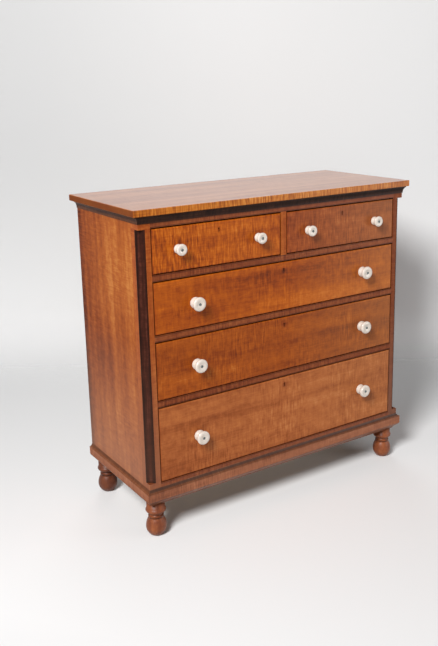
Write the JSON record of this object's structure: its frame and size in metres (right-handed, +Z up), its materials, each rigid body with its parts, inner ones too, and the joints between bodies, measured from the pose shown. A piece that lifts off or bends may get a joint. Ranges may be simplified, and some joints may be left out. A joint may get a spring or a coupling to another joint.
{
  "type": "chest of drawers",
  "caption": "Flat-front maple chest with short drawers over long ones, porcelain knobs, dark cove cornice, chamfered corners, moulded base and turned feet.",
  "frame": {"origin": "middle of the bounding box's floor rectangle, at the soles of the feet", "axes": "+Z up, -Y out of the drawer fronts, +X to the right as one faces the front"},
  "size_m": [1.07, 0.473, 1.037],
  "materials": {
    "figured_maple": "polished curly maple, golden brown",
    "rail_maple": "polished, reddish brown",
    "ebonised_wood": "polished black stain",
    "secondary_wood": "plain unpolished",
    "porcelain": "white glaze",
    "lock_iron": "dull grey"
  },
  "bodies": {
    "case": {"top_board": "figured_maple", "cornice_front": "ebonised_wood", "cornice_returns": "ebonised_wood", "side_left": "figured_maple", "side_right": "figured_maple", "post_left": "figured_maple", "post_right": "figured_maple", "post_strips": "ebonised_wood", "top_rail": "rail_maple", "drawer_rails": "rail_maple", "bottom_rail": "rail_maple", "drawer_divider": "rail_maple", "drawer_runners": "secondary_wood", "drawer_stops": "secondary_wood", "back_boards": "secondary_wood", "base_front": "figured_maple", "base_returns": "figured_maple", "front_feet": "figured_maple", "back_feet": "figured_maple"},
    "upper_left_drawer": {"upper_left_drawer_front": "figured_maple", "upper_left_drawer_left_side": "secondary_wood", "upper_left_drawer_right_side": "secondary_wood", "upper_left_drawer_back": "secondary_wood", "upper_left_drawer_bottom": "secondary_wood", "upper_left_drawer_knobs": "porcelain", "upper_left_drawer_lock": "lock_iron"},
    "upper_right_drawer": {"upper_right_drawer_front": "figured_maple", "upper_right_drawer_left_side": "secondary_wood", "upper_right_drawer_right_side": "secondary_wood", "upper_right_drawer_back": "secondary_wood", "upper_right_drawer_bottom": "secondary_wood", "upper_right_drawer_knobs": "porcelain", "upper_right_drawer_lock": "lock_iron"},
    "second_drawer": {"second_drawer_front": "figured_maple", "second_drawer_left_side": "secondary_wood", "second_drawer_right_side": "secondary_wood", "second_drawer_back": "secondary_wood", "second_drawer_bottom": "secondary_wood", "second_drawer_knobs": "porcelain", "second_drawer_lock": "lock_iron"},
    "third_drawer": {"third_drawer_front": "figured_maple", "third_drawer_left_side": "secondary_wood", "third_drawer_right_side": "secondary_wood", "third_drawer_back": "secondary_wood", "third_drawer_bottom": "secondary_wood", "third_drawer_knobs": "porcelain", "third_drawer_lock": "lock_iron"},
    "lowest_drawer": {"lowest_drawer_front": "figured_maple", "lowest_drawer_left_side": "secondary_wood", "lowest_drawer_right_side": "secondary_wood", "lowest_drawer_back": "secondary_wood", "lowest_drawer_bottom": "secondary_wood", "lowest_drawer_knobs": "porcelain", "lowest_drawer_lock": "lock_iron"}
  },
  "joints": [
    {"name": "upper_left_drawer_slide", "type": "slide", "parent": "case", "child": "upper_left_drawer", "axis": [0, -1, 0], "range_m": [0, 0.3]},
    {"name": "upper_right_drawer_slide", "type": "slide", "parent": "case", "child": "upper_right_drawer", "axis": [0, -1, 0], "range_m": [0, 0.3]},
    {"name": "second_drawer_slide", "type": "slide", "parent": "case", "child": "second_drawer", "axis": [0, -1, 0], "range_m": [0, 0.3]},
    {"name": "third_drawer_slide", "type": "slide", "parent": "case", "child": "third_drawer", "axis": [0, -1, 0], "range_m": [0, 0.3]},
    {"name": "lowest_drawer_slide", "type": "slide", "parent": "case", "child": "lowest_drawer", "axis": [0, -1, 0], "range_m": [0, 0.3]}
  ]
}
